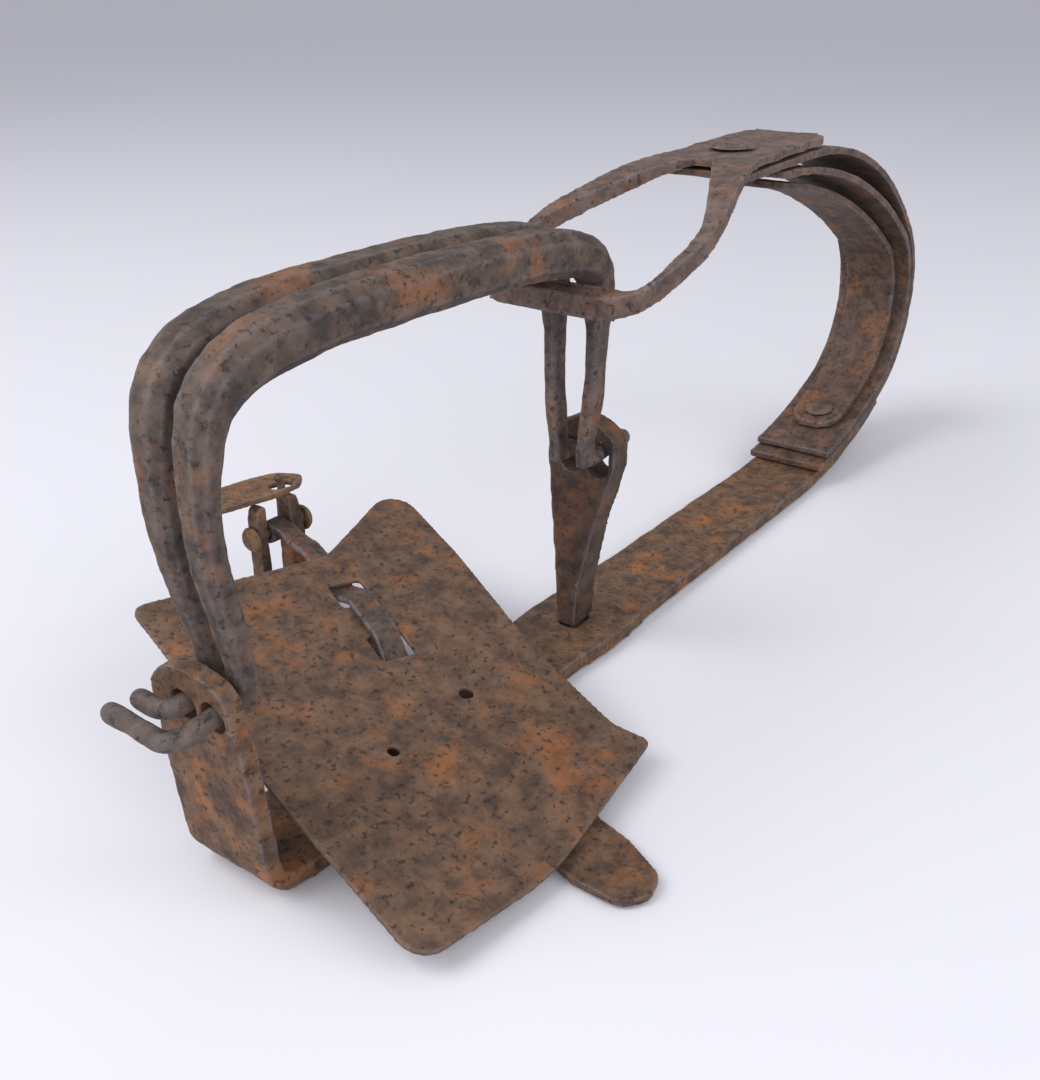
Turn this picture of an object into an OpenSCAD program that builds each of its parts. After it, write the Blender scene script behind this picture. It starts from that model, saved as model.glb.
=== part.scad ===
// Hand-forged animal trap with one long spring, shown sprung with its jaws closed.
// +X runs along the base bar from the front post to the bow of the spring, +Y crosses
// it towards the dog, +Z is up. The origin is on the underside of the base bar, midway
// between the two posts. Millimetres.

/* [Base bar] */
// Width of the flat base bar
bar_w = 28.5; // [24:0.5:36]
// Thickness of the base bar
bar_t = 5.5; // [4:0.5:8]
// From the outer face of the front post to the front face of the rear post
post_span = 131; // [120:1:158]
// Length of the flat bar behind the origin, up to where its tail curves up
bar_flat = 209; // [205:1:250]
// Radius of the tail's underside
tail_r = 168; // [140:1:200]
// Angle that the tail sweeps through
tail_sweep = 26.5; // [20:0.5:32]

/* [Posts] */
// Height of the front post above the floor
front_post_h = 60; // [56:1:70]
// Lean of the front post away from the jaws, in degrees
front_post_lean = 5; // [0:1:8]
// Height of the jaw pivots at the front post
front_pivot_z = 50; // [46:1:52]
// Height of the rear post above the floor
rear_post_h = 74; // [72:1:84]
// Height of the jaw pivots at the rear post
rear_pivot_z = 64; // [60:1:66]
// Depth of the rear post at its foot, along the bar
rear_post_foot = 12; // [10:0.5:14]
// Depth of the rear post at its top, along the bar
rear_post_top = 8; // [6:0.5:9]

/* [Jaws] */
// Height of the top of the closed jaws above the floor
jaw_top = 131; // [122:1:140]
// Depth of a jaw's top bar, measured up and down
jaw_bar_h = 12.4; // [10:0.2:14]
// Width of one jaw's top bar, across the seam
jaw_bar_w = 12.2; // [10:0.2:14]
// Gap left between the closed jaws
jaw_seam = 1.6; // [1:0.1:3]
// Distance of each jaw's pivot from the seam
pivot_offset = 4.4; // [4.2:0.1:5.5]
// Diameter of the jaws' round pivot rods
rod_d = 5.6; // [5:0.1:6]
// Play round a pivot rod in its hole
rod_play = 0.3; // [0.2:0.05:0.5]
// Sideways place of the seam, midway between the posts
seam_y = -4; // [-5:0.5:0]
// Angle by which the seam turns towards the near side, in degrees
seam_turn = 1.3; // [0:0.1:2]

/* [Spring] */
// Width of the outer and middle leaves
leaf_w = 31; // [26:0.5:34]
// Width of the inner leaf
inner_leaf_w = 21; // [16:0.5:25]
// Thickness of each leaf
leaf_t = 3.2; // [2.6:0.1:3.6]
// Outer radius of the outer leaf's bow
bow_r = 42; // [40:0.5:48]
// Drop in bow radius from the outer to the middle leaf
middle_bow_step = 4; // [3.6:0.1:6]
// Drop in bow radius from the outer to the inner leaf
inner_bow_step = 9; // [8:0.1:12]
// Slope of the spring's straight upper end, in degrees
upper_slope = 2.2; // [0:0.1:5]

/* [Fork] */
// Thickness of the fork's plate
plate_t = 3.5; // [3:0.1:5]
// Length of the fork's plate
plate_len = 58; // [50:1:70]
// Distance from the rear post's front face back to the crotch of the fork
crotch_back = 71; // [66:1:80]
// Half of the width inside the fork's ring
ring_half = 22.9; // [22:0.1:23.4]
// Height of the ring's top at the front band
ring_front_z = 113.7; // [112:0.1:114]
// Width of the ring's front band
band_w = 5.5; // [4.5:0.1:7]

/* [Pan] */
// Thickness of the pan's sheet
pan_t = 1.8; // [1.4:0.1:2.2]
// Tilt of the pan towards the near side, in degrees
pan_tilt = 14; // [12:0.5:16]
// Height of the pan's top face above its pin
pan_rise = 9.3; // [9:0.1:11]
// Distance of the pan's pin from the middle of the base bar
pan_pin_y = 80; // [78:0.5:84]
// Height of the pan's pin above the floor
pan_pin_z = 30.5; // [30:0.5:34]
// Diameter of the pan's pin
pan_pin_d = 3.2; // [2.8:0.1:3.6]
// Thickness of the strap that carries the pan
strap_t = 2; // [1.6:0.1:2.4]

/* [Cross bar and dog] */
// Width of the cross bar
cross_w = 20; // [16:0.5:24]
// Thickness of the cross bar
cross_t = 3; // [2.4:0.1:4]
// Angle between the cross bar and the square-across direction, in degrees
cross_skew = 14.4; // [0:0.2:18]
// Length of the dog
dog_len = 52; // [46:1:56]
// Width of the dog
dog_w = 16; // [12:0.5:18]
// Thickness of the dog
dog_t = 2.2; // [1.8:0.1:3]

/* [Hidden] */
$fn = 48;

// Small clearances
stack_gap = 0.1;
side_gap = 0.5;
slot_drop = 3.6;

// Lines of the posts
front_x = -post_span / 2;
rear_x = post_span / 2;
front_face_x = front_x - tan(front_post_lean) * front_pivot_z;
post_mid_x = front_face_x + bar_t / 2;
rear_mid_x = rear_x + rear_post_foot / 2;
pivot_slope = atan((rear_pivot_z - front_pivot_z) / (rear_mid_x - post_mid_x));
rod_r = rod_d / 2;
hole_r = rod_r + rod_play;

// Centres of the spring's arcs, each tangent to the one below it
tail_c = [bar_flat, tail_r];
tail_end = -90 + tail_sweep;
upper_end = 90 + upper_slope;

function unit(v) = v / norm(v);
function xy(p) = [p[0], p[1]];
function reversed(p) = [for (i = [len(p) - 1 : -1 : 0]) p[i]];

// Points along an arc
function arc(c, r, a0, a1, n = 16) =
    [for (i = [0 : n]) let (a = a0 + (a1 - a0) * i / n) c + r * [cos(a), sin(a)]];

// A corner at p between a and b, rounded with radius r
function corner(a, p, b, r, n) = r <= 0 ? [p] :
    let (u = unit(a - p), v = unit(b - p), half = acos(u * v) / 2,
        c = p + unit(u + v) * r / sin(half), s = p + u * r / tan(half),
        e = p + v * r / tan(half), a0 = atan2(s[1] - c[1], s[0] - c[0]),
        turn = (atan2(e[1] - c[1], e[0] - c[0]) - a0 + 540) % 360 - 180)
    arc(c, r, a0, a0 + turn, n);

// Closed outline with a radius at each corner, from points [x, y, radius]
function outline(p, n = 5) =
    [for (i = [0 : len(p) - 1])
        each corner(xy(p[(i + len(p) - 1) % len(p)]), xy(p[i]), xy(p[(i + 1) % len(p)]), p[i][2], n)];

// Open line with a radius at each inner point
function route(p, n = 6) =
    concat([xy(p[0])],
        [for (i = [1 : len(p) - 2]) each corner(xy(p[i - 1]), xy(p[i]), xy(p[i + 1]), p[i][2], n)],
        [xy(p[len(p) - 1])]);

// Band of half-width h on both sides of a line
function along(p, i) = unit(p[min(i + 1, len(p) - 1)] - p[max(i - 1, 0)]);
function beside(p, h, s) =
    [for (i = [0 : len(p) - 1])
        let (t = along(p, i), w = is_list(h) ? h[i] : h) p[i] + s * w * [-t[1], t[0]]];
function ribbon(p, h) = concat(beside(p, h, 1), reversed(beside(p, h, -1)));

// Smooth curve through stations of any kind, with m steps between them
function blend(a, b, c, d, u) =
    (2 * b + (c - a) * u + (2 * a - 5 * b + 4 * c - d) * u * u
        + (3 * b - 3 * c + d - a) * u * u * u) / 2;
function smooth(p, m) =
    let (last = len(p) - 1)
    [for (i = [0 : last - 1]) for (k = [0 : m - 1])
        blend(p[max(i - 1, 0)], p[i], p[i + 1], p[min(i + 2, last)], k / m), p[last]];

// Profile in X and Z, given a width along Y
module across(w, y = 0)
    translate([0, y + w / 2, 0])
        rotate([90, 0, 0])
            linear_extrude(w)
                children();

// Profile in Y and Z, given a length along X
module lengthwise(x0, x1)
    translate([x0, 0, 0])
        rotate([90, 0, 90])
            linear_extrude(x1 - x0)
                children();

// Round bar along X
module bar_x(x0, x1, r)
    translate([x0, 0, 0])
        rotate([0, 90, 0])
            cylinder(h = x1 - x0, r = r);

// The plane of the seam, and the two pivots that lie beside it
module in_seam()
    translate([0, seam_y, 0])
        rotate([0, 0, -seam_turn])
            children();
module at_pivot(side, x, z)
    in_seam()
        translate([x, side * pivot_offset, z])
            rotate([0, -pivot_slope, 0])
                children();
module at_front(side) at_pivot(side, post_mid_x, front_pivot_z) children();
module at_rear(side) at_pivot(side, rear_mid_x, rear_pivot_z) children();

// Centreline of the base bar, from the top of the front post to the end of its tail
function bar_line() =
    let (lean = tan(front_post_lean), half = bar_t / 2, foot_x = front_x + half / cos(front_post_lean))
    concat(
        route([[foot_x - lean * front_post_h, front_post_h], [foot_x - lean * half, half, 8],
            [bar_flat - 20, half]]),
        arc(tail_c, tail_r - half, -90, tail_end, 12));

module base_bar() {
    swell = 1.2;
    post_half = bar_w / 2 - 0.5;
    plan = [[front_x - 20, bar_w / 2, 0], [rear_x - 12, bar_w / 2, 30], [rear_x, bar_w / 2 + swell, 30],
        [rear_x + 16, bar_w / 2 + swell, 30], [rear_x + 28, bar_w / 2, 30], [bar_flat + tail_r, bar_w / 2, 0]];
    mirrored = [for (p = reversed(plan)) [p[0], -p[1], p[2]]];
    front = [[-post_half, -1, 0], [-post_half, 40, 40], [-post_half + 1.5, front_post_h - 4, 7],
        [-4, front_post_h, 14], [7, front_post_h - 1, 10], [post_half - 1, front_post_h - 8, 6],
        [post_half, 34, 30], [post_half, -1, 0]];
    color("sienna")
    difference() {
        intersection() {
            across(3 * bar_w)
                polygon(ribbon(bar_line(), bar_t / 2));
            linear_extrude(2 * tail_r, center = true)
                polygon(outline(concat(plan, mirrored)));
            union() {
                lengthwise(front_x - 20, front_x + 12)
                    polygon(outline(front));
                translate([front_x + 12, -bar_w, -1])
                    cube([bar_flat + tail_r, 2 * bar_w, tail_r]);
            }
        }
        for (side = [-1, 1])
            at_front(side)
                bar_x(-12, 12, hole_r);
        tenon(stack_gap / 2);
        cross_rivet_shank(stack_gap / 2);
        foot_rivet_shank(stack_gap / 2);
    }
}

// Tenon of the rear post, through the base bar
module tenon(grow = 0) {
    tenon_x = rear_post_foot - 3;
    tenon_y = 5;
    translate([rear_mid_x - tenon_x / 2 - grow, -tenon_y / 2 - grow, -grow])
        cube([tenon_x + 2 * grow, tenon_y + 2 * grow, bar_t + 2 * grow]);
}

module rear_post() {
    mid = seam_y - tan(seam_turn) * rear_mid_x;
    wing = pivot_offset + hole_r + 3;
    front = [[3.2, bar_t, 0], [3.8, 18, 20], [6, 44, 40], [mid + wing + 2.4, rear_pivot_z - 4, 20],
        [mid + wing + 1.6, rear_post_h - 5, 4], [mid + 3, rear_post_h, 6], [mid - 4, rear_post_h - 1.5, 6],
        [mid - wing, rear_post_h - 5.5, 4], [mid - wing + 0.2, rear_pivot_z - 4, 20], [-9, 38, 40],
        [-4.6, 18, 20], [-3.7, bar_t, 0]];
    profile = [[rear_x, bar_t], [rear_x + rear_post_foot, bar_t],
        [rear_x + rear_post_top, rear_post_h + 1], [rear_x, rear_post_h + 1]];
    color("saddlebrown")
    difference() {
        union() {
            intersection() {
                lengthwise(rear_x, rear_x + rear_post_foot)
                    polygon(outline(front));
                across(4 * bar_w)
                    polygon(profile);
            }
            tenon();
        }
        for (side = [-1, 1])
            at_rear(side) {
                bar_x(-20, 20, hole_r);
                translate([0, 0, -slot_drop])
                    bar_x(-20, 20, hole_r);
                translate([-20, -hole_r, -slot_drop])
                    cube([40, 2 * hole_r, slot_drop]);
            }
    }
}

// The cross bar's own frame, turned by its skew where it crosses the base bar
cross_x = 4.7;
module in_cross()
    translate([cross_x, 0, 0])
        rotate([0, 0, -cross_skew])
            children();

// Places of the two ears, between which the pan's eye turns
ear_gap = 7.6;
eye_x = cross_x + tan(cross_skew) * pan_pin_y;
left_ear = [eye_x - ear_gap / 2 - 5, eye_x - ear_gap / 2];
right_ear = [eye_x + ear_gap / 2, eye_x + ear_gap / 2 + 7];
ear_half = 3.2;
dog_z = pan_pin_z + 11;
neck_r = 1.9;
neck = [eye_x + ear_gap / 2 + 1.2, pan_pin_y + 1];

module cross_bar() {
    ease = bar_w / 2 / cos(cross_skew) + cross_w / 2 * tan(cross_skew) + 1.5;
    far = (pan_pin_y - ear_half) / cos(cross_skew) + 2;
    tip = 81.5;
    top_z = bar_t + cross_t / 2;
    side = route([[-tip, cross_t / 2], [-ease - 40, cross_t / 2, 60], [-ease, top_z, 20], [far, top_z]]);
    half = cross_w / 2;
    plan = [[half, far, 0], [half, -tip + 16, 30], [half - 3, -tip + 3, 6], [0, -tip, 6],
        [3 - half, -tip + 3, 6], [-half, -tip + 16, 30], [-half, far, 0]];
    color("sienna")
    difference() {
        union() {
            in_cross()
                intersection() {
                    lengthwise(-cross_w, cross_w)
                        polygon(ribbon(side, cross_t / 2));
                    linear_extrude(100, center = true)
                        polygon(outline(plan));
                }
            ears();
        }
        cross_rivet_shank(stack_gap / 2);
        translate([0, pan_pin_y, pan_pin_z])
            bar_x(left_ear[0] - 20, right_ear[1] + 20, pan_pin_d / 2 + 0.05);
    }
}

// The far end of the cross bar, split and turned up into two ears
module ears() {
    top = dog_z - side_gap;
    left = [[left_ear[0] - 2.5, bar_t, 0], [left_ear[1] + 1, bar_t, 0], [left_ear[1], bar_t + 9, 12],
        [left_ear[1], top, 1.5], [left_ear[0] + 1, top, 3], [left_ear[0], top - 5, 4],
        [left_ear[0], bar_t + 10, 20]];
    right = [[right_ear[0] - 1, bar_t, 0], [right_ear[1] + 5, bar_t, 0], [right_ear[1], bar_t + 14, 24],
        [right_ear[1] - 0.5, top - 9, 12], [neck[0] + neck_r + 1, top, 1], [right_ear[0] - 0.5, top, 1],
        [right_ear[0], top - 6, 4], [right_ear[0], bar_t + 10, 12]];
    across(2 * ear_half - 0.6, pan_pin_y)
        polygon(outline(left));
    across(2 * ear_half + 0.8, pan_pin_y + 0.3)
        polygon(outline(right));
    translate([neck[0], neck[1], top - 3]) {
        cylinder(h = dog_t + 5, r = neck_r);
        translate([0, 0, dog_t + 4.4])
            rotate([0, -35, 0])
                cylinder(h = 3, r = neck_r - 0.1);
    }
}

// Rivet with a low domed head, its axis along Z and the head's seat at z = 0
module rivet(shank_r, shank_len, head_r, head_h)
    rotate_extrude()
        polygon(concat([[0, -shank_len], [shank_r, -shank_len], [shank_r, 0], [head_r, 0]],
            [for (a = [15 : 15 : 75]) [head_r * cos(a), head_h * sin(a)]], [[0, head_h]]));

rivet_r = 3;
module cross_rivet_shank(grow = 0)
    translate([cross_x, 0, 0.3])
        cylinder(h = bar_t + cross_t, r = rivet_r + grow);

module cross_rivet()
    color("peru") {
        translate([cross_x, 0, bar_t + cross_t])
            rivet(rivet_r, bar_t + cross_t - 0.3, 6, 2.4);
    }

// Frame on the tail's curve, with Z pointing out of the stack towards the bow's inside
foot_angle = -90 + tail_sweep * 0.62;
module at_foot(depth)
    translate([tail_c[0] + (tail_r - depth) * cos(foot_angle), 0, tail_c[1] + (tail_r - depth) * sin(foot_angle)])
        rotate([0, -90 - foot_angle, 0])
            children();

foot_stack = bar_t + 3 * leaf_t + 3 * stack_gap;
head_lift = 0.25;
module foot_rivet_shank(grow = 0)
    at_foot(0)
        translate([0, 0, -1])
            cylinder(h = foot_stack + 2, r = rivet_r + grow);

module foot_rivet()
    color("peru") {
        at_foot(foot_stack + head_lift)
            rivet(rivet_r, foot_stack + head_lift, 6, 2.4);
        at_foot(0)
            mirror([0, 0, 1])
                rivet(rivet_r, 0.5, 5.5, 2);
    }

module pan_pin()
    color("peru")
        translate([0, pan_pin_y, pan_pin_z]) {
            bar_x(left_ear[0] - 1, right_ear[1] + 1, pan_pin_d / 2);
            translate([left_ear[0], 0, 0])
                rotate([0, -90, 0])
                    rivet(pan_pin_d / 2, 0.5, 4.2, 2.6);
            translate([right_ear[1], 0, 0])
                rotate([0, 90, 0])
                    rivet(pan_pin_d / 2, 0.5, 4.4, 3.2);
        }

// The pan's own frame: origin on the pin, y running up the pan's slope
module in_pan()
    translate([0, pan_pin_y, pan_pin_z])
        rotate([pan_tilt, 0, 0])
            children();

// Line of the strap in the pan's frame: straight out of the eye, then aslant
strap_knee = [eye_x, -6];
strap_end = [1, -76];
strap_dir = unit(strap_end - strap_knee);
function on_strap(y) = strap_knee + strap_dir * (y - strap_knee[1]) / strap_dir[1];
strap_w = 8.6;
slit_y = [-44, -66];
slit_len = 9.6;
strap_gap = 0.25;

module slit(y)
    translate([on_strap(y)[0], y, 0])
        rotate([0, 0, atan2(strap_dir[1], strap_dir[0])])
            cube([slit_len, strap_w + 2 * side_gap, 4 * pan_rise], center = true);

module pan_plate() {
    plan = [[-37.5, -12, 4], [19, -27, 9], [63.5, -12.5, 7], [51, -51, 90], [34.5, -92, 120],
        [26.5, -124, 14], [29.3, -134.6, 2.4], [-24, -141.5, 60], [-63, -135.5, 7], [-53.7, -84, 300]];
    color("sienna")
    in_pan()
        difference() {
            translate([0, 0, pan_rise - pan_t])
                linear_extrude(pan_t)
                    polygon(outline(plan));
            for (y = slit_y)
                slit(y);
            for (hole = [[5.7, -91.2, 1.9], [-23.5, -92.5, 1.4]])
                translate([hole[0], hole[1], 0])
                    cylinder(h = 2 * pan_rise, r = hole[2]);
        }
}

// Strap rolled round the pin, then woven up and down through the pan's two slits
module pan_strap() {
    bore = pan_pin_d / 2 + 0.08;
    low = pan_rise - pan_t - strap_t / 2 - strap_gap;
    high = pan_rise + strap_t / 2 + strap_gap;
    rolled = bore + strap_t / 2;
    side = route([[0, rolled], [-9, rolled, 8], [-20, low, 12], [slit_y[0] + 3.5, low, 3],
        [slit_y[0] - 3.5, high, 3], [slit_y[1] + 3.5, high, 3], [slit_y[1] - 3.5, low, 3], [strap_end[1], low]], 3);
    plan = route([[eye_x, 0], [strap_knee[0], strap_knee[1], 4], strap_end], 3);
    widths = [for (p = plan) p[1] > -9 ? 3.3 : strap_w / 2];
    color("sienna")
    in_pan()
        difference() {
            union() {
                intersection() {
                    lengthwise(-60, 90)
                        polygon(ribbon(side, strap_t / 2));
                    linear_extrude(60, center = true)
                        polygon(ribbon(plan, widths));
                }
                bar_x(eye_x - ear_gap / 2 + 0.3, eye_x + ear_gap / 2 - 0.3, bore + strap_t);
            }
            bar_x(-10, 60, bore);
        }
}

// Flat dog, slotted over the neck of the right ear
module dog() {
    nose = 10;
    tail = dog_len - nose;
    shift = 3;
    plan = [[-nose, 0, 3], [-nose + 6, -dog_w / 2 + 1, 6], [4, -dog_w / 2, 10], [tail - 4, -dog_w / 2 + 1.5, 5],
        [tail, -2, 3], [tail, 3, 3], [tail - 3, dog_w / 2 - 1, 5], [6, dog_w / 2, 10], [-nose + 5, dog_w / 2 - 2, 6]];
    slot_r = neck_r + 0.4;
    color("darkgoldenrod")
    translate([neck[0], neck[1], dog_z])
        rotate([0, 0, 168])
            difference() {
                linear_extrude(dog_t)
                    polygon(outline([for (p = plan) [p[0], p[1] - shift, p[2]]]));
                for (x = [-1.5, 1.5])
                    translate([x, 0, -1])
                        cylinder(h = dog_t + 2, r = slot_r);
                translate([-1.5, -slot_r, -1])
                    cube([3, 2 * slot_r, dog_t + 2]);
            }
}

// Stations of a jaw in the seam's plane: x, z, depth in the plane, width across, distance from the seam
function jaw_stations() =
    let (fx = front_face_x + bar_t + 3.8, rx = rear_x - 5.4, lean = front_face_x + 3.6,
        fz = front_pivot_z, rz = rear_pivot_z, zc = jaw_top - jaw_bar_h / 2, w = jaw_bar_w,
        d = jaw_seam / 2 + w / 2, leg = pivot_offset)
    [[fx, fz - 2.6, 6, 5.2, leg], [fx, fz + 2, 6.8, 6, leg], [fx - 1, fz + 12, 7, 6.3, leg + 0.4],
    [lean + 2, fz + 24, 7.3, 7.2, leg + 0.9], [lean, fz + 38, 7.6, 8.4, leg + 1.3],
    [lean + 0.2, zc - 23, 8.2, 9.8, leg + 1.7], [lean + 2.6, zc - 12, 10.2, 11, d - 0.5],
    [lean + 9.6, zc - 5.2, 11.8, w - 0.4, d - 0.1], [lean + 22, zc - 1.9, jaw_bar_h, w, d],
    [lean + 38, zc - 0.4, jaw_bar_h, w, d], [0, zc, jaw_bar_h, w, d], [rx - 32, zc - 0.3, jaw_bar_h, w, d],
    [rx - 14, zc - 2.2, jaw_bar_h, w, d], [rx - 4.6, zc - 5.8, 11, w, d], [rx - 0.4, zc - 13, 9.4, w - 2.6, d],
    [rx + 0.8, zc - 26, 7.8, 5.3, leg + 2.5], [rx + 0.3, rz + 16, 7.6, 5, leg + 1.7],
    [rx, rz + 4, 7.3, 4.6, leg + 0.1], [rx, rz - 2.6, 6.2, 4.4, leg]];

// Eight-sided bar swept along the stations, on one side of the seam
module jaw_bow(side) {
    st = smooth(jaw_stations(), 2);
    chamfer = 0.24;
    last = len(st) - 1;
    function ring(i) =
        let (s = st[i], t = along([for (p = st) xy(p)], i), n = [-t[1], t[0]],
            a = s[3] / 2, b = s[2] / 2, c = chamfer * s[3], y = side * s[4])
        [for (q = [[a, b - c], [a - c, b], [c - a, b], [-a, b - c], [-a, c - b], [c - a, -b], [a - c, -b], [a, c - b]])
            [s[0] + n[0] * q[1], y + q[0], s[1] + n[1] * q[1]]];
    points = [for (i = [0 : last]) each ring(i)];
    walls = [for (i = [0 : last - 1]) for (k = [0 : 7])
        let (a = 8 * i + k, b = 8 * i + (k + 1) % 8)
        each [[a, b + 8, b], [a, a + 8, b + 8]]];
    caps = [[for (k = [0 : 7]) k], [for (k = [7 : -1 : 0]) 8 * last + k]];
    in_seam()
        polyhedron(points, concat(walls, caps), convexity = 6);
}

// Rod from the front leg through the post, bent across in front of it
module hook(side, reach, drop) {
    bend = 4;
    start = -bar_t / 2 - reach + bend;
    at_front(side) {
        bar_x(start, bar_t / 2 + 3, rod_r);
        translate([start, bend, 0])
            rotate([0, 0, 180])
                rotate_extrude(angle = 90)
                    translate([bend, 0])
                        circle(rod_r);
        translate([start - bend, bend, 0])
            rotate([-90, 0, 0])
                cylinder(h = drop - bend, r = rod_r);
        translate([start - bend, drop, 0])
            sphere(rod_r);
    }
}

module jaw(side, reach, drop, knob) {
    jaw_bow(side);
    hook(side, reach, drop);
    at_rear(side)
        bar_x(-rear_post_foot / 2 - 4, rear_post_top / 2 + knob, rod_r);
}

// Both hooks lie across the front post, the front jaw's outside the back jaw's
inner_reach = rod_r + 0.7;
module front_jaw()
    color("slategray")
        jaw(-1, inner_reach + rod_d + 0.6, 19, 5);
module back_jaw()
    color("slategray")
        jaw(1, inner_reach, 9, 1);

// Line of a leaf: on the stack of the tail, round the bow, then along the upper arm
function leaf_line(level, start_x, bow, bow_end, top_r, end_angle) =
    let (low_r = tail_r - bar_t - level * (leaf_t + stack_gap) - stack_gap - leaf_t / 2,
        r = bow - leaf_t / 2, bow_c = tail_c + (low_r - r) * [cos(tail_end), sin(tail_end)],
        upper_c = bow_c - (top_r - bow) * [cos(bow_end), sin(bow_end)])
    concat(arc(tail_c, low_r, -90 + asin((start_x - bar_flat) / low_r), tail_end - 1, 8),
        arc(bow_c, r, tail_end, bow_end, 22),
        arc(upper_c, top_r - leaf_t / 2, bow_end + 1, end_angle, 10));
function outer_line() = leaf_line(0, bar_flat + 13, bow_r, 46, 150, upper_end);

// Height of the outer leaf's top face where its straight end starts
outer_last = outer_line()[len(outer_line()) - 1];
slope_dir = [-cos(upper_slope), -sin(upper_slope)];
crotch_x = rear_x + crotch_back;
outer_tip = outer_last + slope_dir * (outer_last[0] - crotch_x) / cos(upper_slope);

module leaf(line, w)
    across(w)
        polygon(ribbon(line, leaf_t / 2));

module spring_leaf_outer()
    color("dimgray")
    difference() {
        leaf(concat(outer_line(), [outer_tip]), leaf_w);
        foot_rivet_shank(stack_gap / 2);
        fork_rivet_shank(stack_gap / 2);
    }

module spring_leaf_middle()
    color("dimgray")
    difference() {
        leaf(leaf_line(1, bar_flat + 19, bow_r - middle_bow_step, 56, 219, 90), leaf_w);
        foot_rivet_shank(stack_gap / 2);
    }

module spring_leaf_inner() {
    start_x = bar_flat + 33;
    half = inner_leaf_w / 2;
    color("dimgray")
    difference() {
        leaf(leaf_line(2, start_x, bow_r - inner_bow_step, 58, 255, 84), inner_leaf_w);
        foot_rivet_shank(stack_gap / 2);
        translate([start_x - half, 0, 0])
            difference() {
                translate([0, -half - 1, 0])
                    cube([2 * half, 2 * half + 2, 50]);
                translate([2 * half, 0, -1])
                    cylinder(h = 52, r = half + 0.01);
                translate([2 * half, -half - 2, -1])
                    cube([half, 2 * half + 4, 52]);
            }
    }
}

// The fork: plate on the spring's end, and a ring round both jaws
plate_lift = leaf_t / 2 + stack_gap + plate_t / 2;
plate_start = outer_tip + plate_lift * [-slope_dir[1] * -1, -slope_dir[0]];
ring_front_x = rear_x - 14.4 - band_w;

module spring_fork() {
    ring_mid = seam_y - tan(seam_turn) * rear_x - 0.7;
    plate_end = plate_start - slope_dir * plate_len;
    front_mid = [ring_front_x + 2, ring_front_z - 3.4];
    side = route([front_mid - [4, 1.1], [ring_front_x + 45, ring_front_z + 9.5, 140], [crotch_x - 16, plate_start[1] - 1.9, 80],
        [crotch_x - 3, plate_start[1] - 3 * tan(upper_slope), 20], plate_end], 8);
    halves = [for (p = side) p[0] > crotch_x - 1 ? plate_t / 2 : lookup(p[0],
        [[ring_front_x, 3.3], [crotch_x - 30, 2.9], [crotch_x - 1, plate_t / 2]])];
    // Centre of the ring swings from the middle of the plate to the seam
    function shifted(p) = [for (q = p) [q[0], q[1] + lookup(q[0], [[rear_x, ring_mid], [crotch_x, 0]]), q[2]]];
    function both(p) = concat(p, [for (q = reversed(p)) [q[0], -q[1], q[2]]]);
    inner_x = ring_front_x + band_w;
    outer = both([[ring_front_x, ring_half + 1.2, 13], [rear_x + 16, ring_half + 6, 70],
        [crotch_x, leaf_w / 2 + 1.5, 40], [crotch_x + 8, leaf_w / 2, 30], [plate_end[0], leaf_w / 2, 6]]);
    inner = both([[inner_x, ring_half - 0.6, 6], [rear_x + 18, ring_half + 0.6, 50], [crotch_x - 1, 2.5, 2.4]]);
    color("rosybrown")
    difference() {
        intersection() {
            across(4 * leaf_w)
                polygon(ribbon(side, halves));
            linear_extrude(3 * jaw_top, center = true)
                difference() {
                    polygon(outline(shifted(outer)));
                    polygon(outline(shifted(inner)));
                }
        }
        fork_rivet_shank(stack_gap / 2);
    }
}

// Rivet through the plate and the outer leaf
rivet_at = plate_start - slope_dir * 18;
module at_plate()
    translate([rivet_at[0], 0, rivet_at[1]])
        rotate([0, -upper_slope, 0])
            children();
module fork_rivet_shank(grow = 0)
    at_plate()
        translate([0, 0, -10])
            cylinder(h = 20, r = rivet_r + grow);
module fork_rivet()
    color("rosybrown")
    at_plate() {
        translate([0, 0, plate_t / 2 + stack_gap])
            rivet(rivet_r, plate_t + leaf_t + 3 * stack_gap + 0.4, 7.4, 1.8);
        translate([0, 0, -plate_t / 2 - 2 * stack_gap - leaf_t])
            mirror([0, 0, 1])
                rivet(rivet_r, 0.2, 5, 1.6);
    }

base_bar();
rear_post();
cross_bar();
cross_rivet();
foot_rivet();
pan_pin();
pan_plate();
pan_strap();
dog();
front_jaw();
back_jaw();
spring_leaf_outer();
spring_leaf_middle();
spring_leaf_inner();
spring_fork();
fork_rivet();
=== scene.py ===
# %% [markdown]
# # A forged iron trap, from an exact frame to a rusty picture
# The frame gives every piece its place and size. Here each piece gets a hammered,
# pitted skin and a rust that is worked out from its own coordinates.

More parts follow.
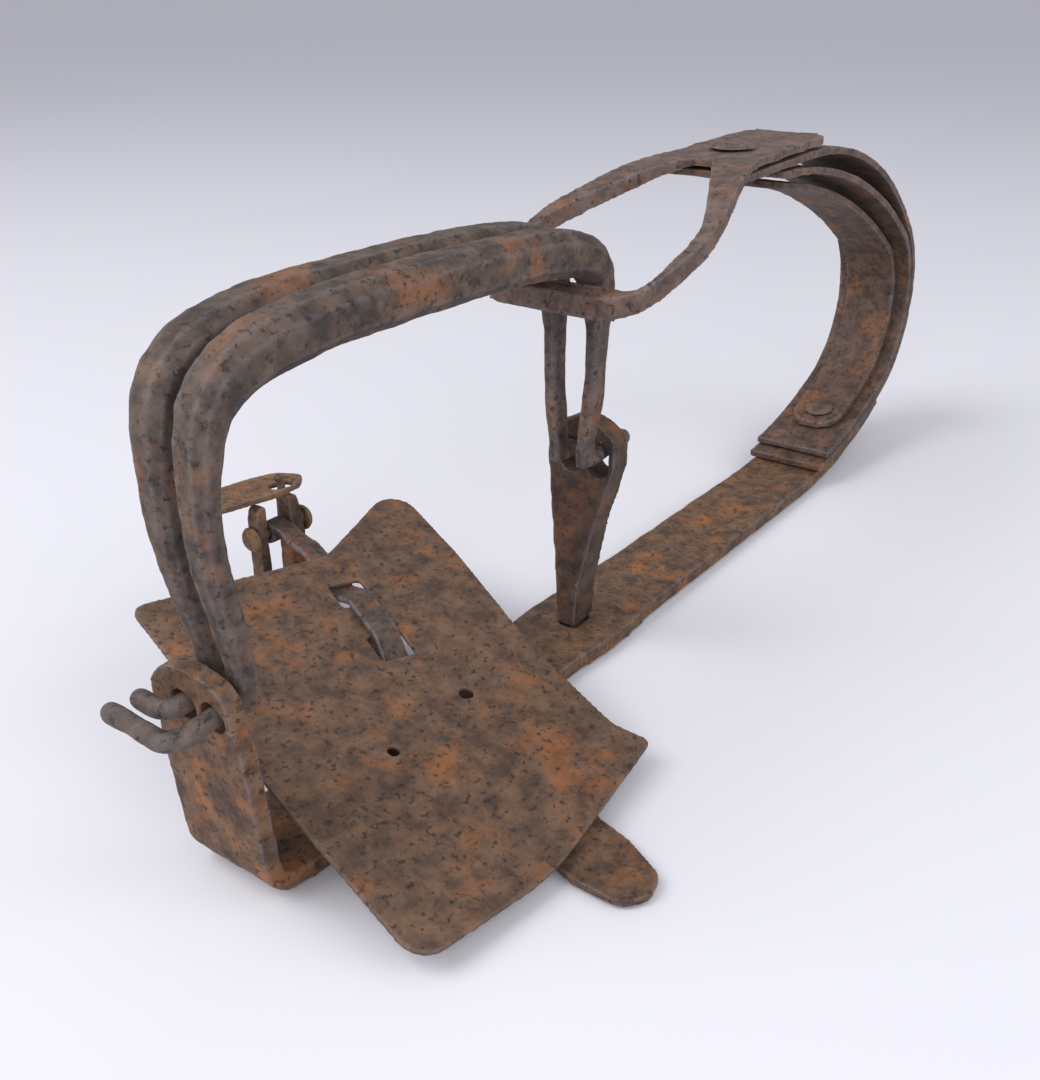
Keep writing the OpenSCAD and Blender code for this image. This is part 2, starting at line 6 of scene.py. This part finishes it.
# %% Load the frame
import math
import bpy
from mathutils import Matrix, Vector


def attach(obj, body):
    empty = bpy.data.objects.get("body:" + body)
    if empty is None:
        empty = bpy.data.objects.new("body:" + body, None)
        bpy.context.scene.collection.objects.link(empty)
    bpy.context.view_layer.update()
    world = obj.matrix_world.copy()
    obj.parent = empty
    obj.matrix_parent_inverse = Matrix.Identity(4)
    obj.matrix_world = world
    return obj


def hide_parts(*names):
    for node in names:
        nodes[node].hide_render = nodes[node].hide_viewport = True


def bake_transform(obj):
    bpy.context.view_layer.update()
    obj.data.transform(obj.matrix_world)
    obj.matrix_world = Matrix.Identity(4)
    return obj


MM = 0.001
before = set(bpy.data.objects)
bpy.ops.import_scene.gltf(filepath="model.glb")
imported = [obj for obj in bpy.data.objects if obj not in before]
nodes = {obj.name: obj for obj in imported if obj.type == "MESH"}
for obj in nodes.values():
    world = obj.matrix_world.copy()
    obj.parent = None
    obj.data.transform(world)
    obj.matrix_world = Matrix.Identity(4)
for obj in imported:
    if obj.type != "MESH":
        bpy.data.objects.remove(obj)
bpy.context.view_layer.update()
print(len(nodes), "nodes loaded")

# %% [markdown]
# ## Which body carries which piece
# The leaves of the spring aren't in this list: they get their own cell below.

# %% Bodies of the pieces
FIXED = ["base_bar", "rear_post", "cross_bar", "cross_rivet", "foot_rivet", "pan_pin"]
LEAVES = ["spring_leaf_outer", "spring_leaf_middle", "spring_leaf_inner"]
RIDES = {name: "frame" for name in FIXED}
RIDES.update(spring_fork="fork", fork_rivet="fork", front_jaw="jaw_front", back_jaw="jaw_back",
             pan_plate="pan", pan_strap="pan", dog="dog")

# %% [markdown]
# ## Forging a piece
# A copy of the exact mesh is merged, because its triangles come loose. A voxel remesh
# gives it an even skin, and two displacements push that skin inwards: a broad one for
# the hammer's marks and a fine one for the pits. Both push only inwards, so a piece stays
# close to its exact outline. The finished trap reaches 0.6 mm below the frame's own box.

# %% Forge one piece
def only(obj):
    bpy.ops.object.select_all(action="DESELECT")
    obj.select_set(True)
    bpy.context.view_layer.objects.active = obj


def noise_texture(name, scale, depth):
    texture = bpy.data.textures.new(name, "CLOUDS")
    texture.noise_scale = scale
    texture.noise_depth = depth
    texture.noise_basis = "IMPROVED_PERLIN"
    return texture


MERGE = 0.001 * MM
SOFTENED = (0.5, 4)  # factor and iterations before the displacement
SETTLED = (0.4, 1)  # and after it
HAMMER = noise_texture("hammer marks", 9 * MM, 1)
PITS = noise_texture("rust pits", 1.6 * MM, 2)


def forge(name, voxel, hammer, pits):
    source = nodes[name]
    obj = bpy.data.objects.new(name + "_forged", source.data.copy())
    obj.data.transform(source.matrix_world)
    bpy.context.collection.objects.link(obj)
    only(obj)
    bpy.ops.object.mode_set(mode="EDIT")
    bpy.ops.mesh.select_all(action="SELECT")
    bpy.ops.mesh.remove_doubles(threshold=MERGE)
    bpy.ops.mesh.normals_make_consistent(inside=False)
    bpy.ops.object.mode_set(mode="OBJECT")
    remesh = obj.modifiers.new("even skin", "REMESH")
    remesh.mode = "VOXEL"
    remesh.voxel_size = voxel * MM
    smooth = obj.modifiers.new("softened edges", "SMOOTH")
    smooth.factor, smooth.iterations = SOFTENED
    for texture, depth in ((HAMMER, hammer), (PITS, pits)):
        push = obj.modifiers.new(texture.name, "DISPLACE")
        push.texture = texture
        push.texture_coords = "LOCAL"
        push.strength = depth * MM
        push.mid_level = 1.0
    settle = obj.modifiers.new("settled skin", "SMOOTH")
    settle.factor, settle.iterations = SETTLED
    for modifier in [m.name for m in obj.modifiers]:
        bpy.ops.object.modifier_apply(modifier=modifier)
    obj.data.materials.clear()
    bpy.ops.object.shade_smooth()
    print(obj.name, len(obj.data.polygons), "faces")
    return obj

# %% [markdown]
# ## Rust
# One recipe serves every piece. Broad noise mixes a dark and a light rust, a second noise
# lays orange blooms where it peaks, and dark pits sit on top. Worn, bluish iron shows on
# the edges through the mesh's pointiness. Each piece only chooses its colours.

# %% The rust recipe
DARK_PIT = (0.018, 0.010, 0.008, 1)
ORANGE = (0.36, 0.12, 0.025, 1)
WORN = (0.17, 0.16, 0.17, 1)
COLOUR_A = 6  # sockets of the mix node
COLOUR_B = 7
COLOUR_OUT = 2
BASE_NOISE = (170, 9)  # scale and detail
BLOOM_NOISE = (75, 10)
PIT_NOISE = (560, 5)
BUMP_NOISE = (900, 4)
BASE_RANGE = (0.38, 0.62)  # the part of a noise that is stretched to 0 and 1
BLOOM_RANGE = (0.52, 0.66)
EDGE_RANGE = (0.505, 0.56)
PIT_RANGE = (0.55, 0.64)
PIT_STRENGTH = 0.85


def rust(name, dark, light, bloom, worn):
    material = bpy.data.materials.new(name)
    material.use_nodes = True
    tree = material.node_tree
    shader = tree.nodes["Principled BSDF"]
    coords = tree.nodes.new("ShaderNodeTexCoord")

    def noise(scale, detail):
        node = tree.nodes.new("ShaderNodeTexNoise")
        node.inputs["Scale"].default_value = scale
        node.inputs["Detail"].default_value = detail
        node.inputs["Roughness"].default_value = 0.65
        tree.links.new(coords.outputs["Object"], node.inputs["Vector"])
        return node.outputs["Fac"]

    def stretch(value, low, high):
        node = tree.nodes.new("ShaderNodeMapRange")
        node.inputs["From Min"].default_value = low
        node.inputs["From Max"].default_value = high
        tree.links.new(value, node.inputs["Value"])
        return node.outputs["Result"]

    def scaled(value, factor):
        node = tree.nodes.new("ShaderNodeMath")
        node.operation = "MULTIPLY"
        node.inputs[1].default_value = factor
        tree.links.new(value, node.inputs[0])
        return node.outputs["Value"]

    def mix(factor, first, second):
        node = tree.nodes.new("ShaderNodeMix")
        node.data_type = "RGBA"
        tree.links.new(factor, node.inputs["Factor"])
        for socket, colour in ((COLOUR_A, first), (COLOUR_B, second)):
            if isinstance(colour, tuple):
                node.inputs[socket].default_value = colour
            else:
                tree.links.new(colour, node.inputs[socket])
        return node.outputs[COLOUR_OUT]

    base = mix(stretch(noise(*BASE_NOISE), *BASE_RANGE), dark, light)
    bloomed = mix(scaled(stretch(noise(*BLOOM_NOISE), *BLOOM_RANGE), bloom), base, ORANGE)
    geometry = tree.nodes.new("ShaderNodeNewGeometry")
    edge = scaled(stretch(geometry.outputs["Pointiness"], *EDGE_RANGE), worn)
    edged = mix(edge, bloomed, WORN)
    pits = scaled(stretch(noise(*PIT_NOISE), *PIT_RANGE), PIT_STRENGTH)
    pitted = mix(pits, edged, DARK_PIT)
    tree.links.new(pitted, shader.inputs["Base Color"])
    shader.inputs["Metallic"].default_value = 0.15
    shader.inputs["Roughness"].default_value = 0.72
    bump = tree.nodes.new("ShaderNodeBump")
    bump.inputs["Strength"].default_value = 0.5
    bump.inputs["Distance"].default_value = 0.3 * MM
    tree.links.new(noise(*BUMP_NOISE), bump.inputs["Height"])
    tree.links.new(bump.outputs["Normal"], shader.inputs["Normal"])
    return material

# %% [markdown]
# ## Colours of the pieces
# The pan and the bars are red-brown, the jaws a greyer brown with worn edges, and the
# rear post is the darkest.

# %% Make the materials
BAR = rust("bar rust", (0.058, 0.032, 0.020, 1), (0.165, 0.088, 0.046, 1), 0.6, 0.45)
POST = rust("post rust", (0.028, 0.016, 0.012, 1), (0.085, 0.045, 0.028, 1), 0.3, 0.5)
PAN = rust("pan rust", (0.060, 0.034, 0.023, 1), (0.150, 0.083, 0.048, 1), 0.45, 0.3)
DOG = rust("dog rust", (0.090, 0.045, 0.024, 1), (0.22, 0.115, 0.055, 1), 0.4, 0.4)
JAW = rust("jaw rust", (0.036, 0.025, 0.020, 1), (0.110, 0.073, 0.055, 1), 0.35, 0.8)
SPRING = rust("spring rust", (0.050, 0.030, 0.022, 1), (0.125, 0.074, 0.052, 1), 0.35, 0.5)
FORK = rust("fork rust", (0.070, 0.042, 0.034, 1), (0.150, 0.098, 0.080, 1), 0.25, 0.6)
LOOKS = {"base_bar": BAR, "rear_post": POST, "cross_bar": BAR, "cross_rivet": BAR,
         "foot_rivet": SPRING, "pan_pin": DOG, "pan_plate": PAN, "pan_strap": JAW,
         "dog": DOG, "front_jaw": JAW, "back_jaw": JAW, "spring_fork": FORK,
         "fork_rivet": FORK}
print(len(LOOKS), "pieces have a look")

# %% [markdown]
# ## Forge the rigid pieces
# Thin sheet gets shallow marks, and small rivets a finer skin. Each finish is the size of
# the remesh and the depths of the hammer's marks and of the pits, in mm.

# %% Forge and seat them
THIN = ["pan_plate", "pan_strap", "dog"]
SMALL = ["cross_rivet", "foot_rivet", "pan_pin", "fork_rivet"]
FINISH = {name: (0.7, 0.8, 0.3) for name in RIDES}
FINISH.update({name: (0.5, 0.25, 0.12) for name in THIN})
FINISH.update({name: (0.4, 0.1, 0.12) for name in SMALL})
for name, body in RIDES.items():
    piece = forge(name, *FINISH[name])
    piece.data.materials.append(LOOKS[name])
    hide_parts(name)
    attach(piece, body)

# %% [markdown]
# ## The leaves of the spring
# Each leaf is forged, gets the spring's rust and has its transform baked into its mesh;
# no leaf is attached to a body.

# %% Forge the leaves
LEAF_FINISH = (0.7, 0.5, 0.25)
for name in LEAVES:
    leaf = forge(name, *LEAF_FINISH)
    leaf.data.materials.append(SPRING)
    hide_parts(name)
    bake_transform(leaf)

# %% [markdown]
# ## Floor, light and camera
# A pale floor with soft light, mostly from the upper left, so that shadows fall to the
# lower right. The camera stands where the photograph was taken from.

# %% Stage
FLOOR_Z = -0.5 * MM
PAPER = (0.66, 0.655, 0.70, 1)
TARGET = Vector((0.08, 0, 0.05))
LIGHTS = (  # place, power, width
    ((-0.7, 0.5, 1.1), 13, 0.9),
    ((0.2, -1.1, 0.8), 7, 1.2),
    ((-0.9, -0.6, 0.5), 5, 0.8),
)
bpy.ops.object.select_all(action="DESELECT")
bpy.ops.mesh.primitive_plane_add(size=60, location=(0, 0, FLOOR_Z))
floor = bpy.context.object
paper = bpy.data.materials.new("floor")
paper.use_nodes = True
paper_shader = paper.node_tree.nodes["Principled BSDF"]
paper_shader.inputs["Base Color"].default_value = PAPER
paper_shader.inputs["Roughness"].default_value = 0.9
floor.data.materials.append(paper)
for place, power, width in LIGHTS:
    light = bpy.data.objects.new("soft light", bpy.data.lights.new("soft light", "AREA"))
    light.data.energy = power
    light.data.size = width
    light.location = place
    aim = TARGET - Vector(place)
    light.rotation_euler = aim.to_track_quat("-Z", "Y").to_euler()
    bpy.context.collection.objects.link(light)
world = bpy.context.scene.world or bpy.data.worlds.new("world")
bpy.context.scene.world = world
world.use_nodes = True
world.node_tree.nodes["Background"].inputs["Color"].default_value = (0.86, 0.87, 0.93, 1)
world.node_tree.nodes["Background"].inputs["Strength"].default_value = 0.7

# %% Camera at the photograph's viewing angle
YAW = math.radians(36.43)
PITCH = math.radians(26.12)
camera = bpy.data.objects.new("camera", bpy.data.cameras.new("camera"))
bpy.context.collection.objects.link(camera)
camera.location = (-185.835 * MM, -169.139 * MM, 182.699 * MM)
level = math.cos(PITCH)
forward = Vector((math.cos(YAW) * level, math.sin(YAW) * level, -math.sin(PITCH)))
camera.rotation_euler = forward.to_track_quat("-Z", "Y").to_euler()
camera.data.sensor_width = 36
camera.data.lens = 38.33
camera.data.clip_start = 1 * MM
bpy.context.scene.camera = camera
bpy.context.scene.view_settings.view_transform = "Standard"
